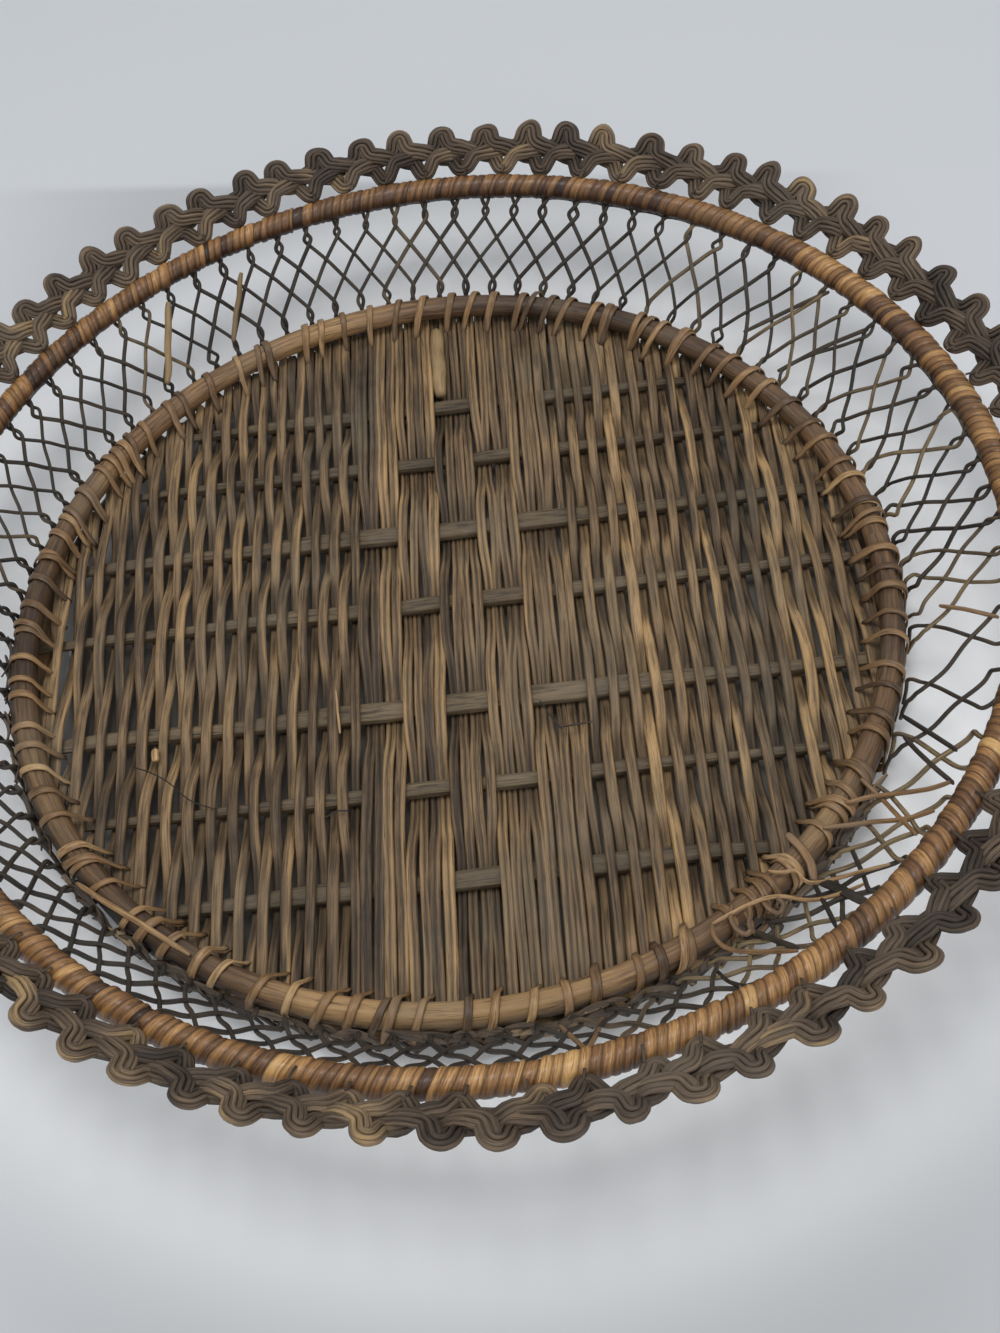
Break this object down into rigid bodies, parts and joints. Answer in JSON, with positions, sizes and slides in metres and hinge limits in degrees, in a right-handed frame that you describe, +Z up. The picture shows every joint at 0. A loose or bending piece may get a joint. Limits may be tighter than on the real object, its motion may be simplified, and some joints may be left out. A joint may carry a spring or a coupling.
{
  "type": "tray basket",
  "caption": "Round shallow tray basket: a base woven of rods and stakes, open lattice sides, a cane-bound rim hoop and a plaited border that flares outward.",
  "frame": {"origin": "on the floor, under the middle of the round base", "axes": "+Z up out of the tray, +Y away from the viewer of the picture along the weave's long rods, +X to the right along the stakes"},
  "size_m": [0.447, 0.447, 0.0701],
  "materials": {
    "stake_wood": "weathered split stake, dull grey brown",
    "weaver_rod": "aged peeled rod, matt to slightly polished",
    "hoop_wood": "dark stained hoop rod, satin",
    "cane": "split cane, glossy skin side out, worn",
    "lattice_reed": "thin twisted reed, dark grey brown",
    "border_reed": "bundled reeds, dark grey brown, worn lighter on top",
    "pale_stick": "newer tan stick, satin"
  },
  "bodies": {
    "root": {"stake_1": "stake_wood", "stake_2": "stake_wood", "stake_3": "stake_wood", "stake_4": "stake_wood", "stake_5": "stake_wood", "stake_6": "stake_wood", "stake_7": "stake_wood", "weaver_01": "weaver_rod", "weaver_02": "weaver_rod", "weaver_03": "weaver_rod", "weaver_04": "weaver_rod", "weaver_05": "weaver_rod", "weaver_06": "weaver_rod", "weaver_07": "weaver_rod", "weaver_08": "weaver_rod", "weaver_09": "weaver_rod", "weaver_10": "weaver_rod", "weaver_11": "weaver_rod", "weaver_12": "weaver_rod", "weaver_13": "weaver_rod", "weaver_14": "weaver_rod", "weaver_15": "weaver_rod", "weaver_16": "weaver_rod", "weaver_17": "weaver_rod", "weaver_18": "weaver_rod", "weaver_19": "weaver_rod", "weaver_20": "weaver_rod", "weaver_21": "weaver_rod", "weaver_22": "weaver_rod", "weaver_23": "weaver_rod", "weaver_24": "weaver_rod", "weaver_25": "weaver_rod", "weaver_26": "weaver_rod", "weaver_27": "weaver_rod", "weaver_28": "weaver_rod", "weaver_29": "weaver_rod", "weaver_30": "weaver_rod", "weaver_31": "weaver_rod", "weaver_32": "weaver_rod", "weaver_33": "weaver_rod", "weaver_34": "weaver_rod", "weaver_35": "weaver_rod", "weaver_36": "weaver_rod", "weaver_37": "weaver_rod", "weaver_38": "weaver_rod", "weaver_39": "weaver_rod", "weaver_40": "weaver_rod", "center_rod_stub": "pale_stick", "bottom_hoop": "hoop_wood", "base_hoop": "hoop_wood", "base_lashing": "cane", "side_lattice": "lattice_reed", "rim_hoop": "cane", "border_strand_1": "border_reed", "border_strand_2": "border_reed", "border_strand_3": "border_reed", "mend_stick_1": "pale_stick", "mend_stick_2": "pale_stick"}
  },
  "joints": []
}
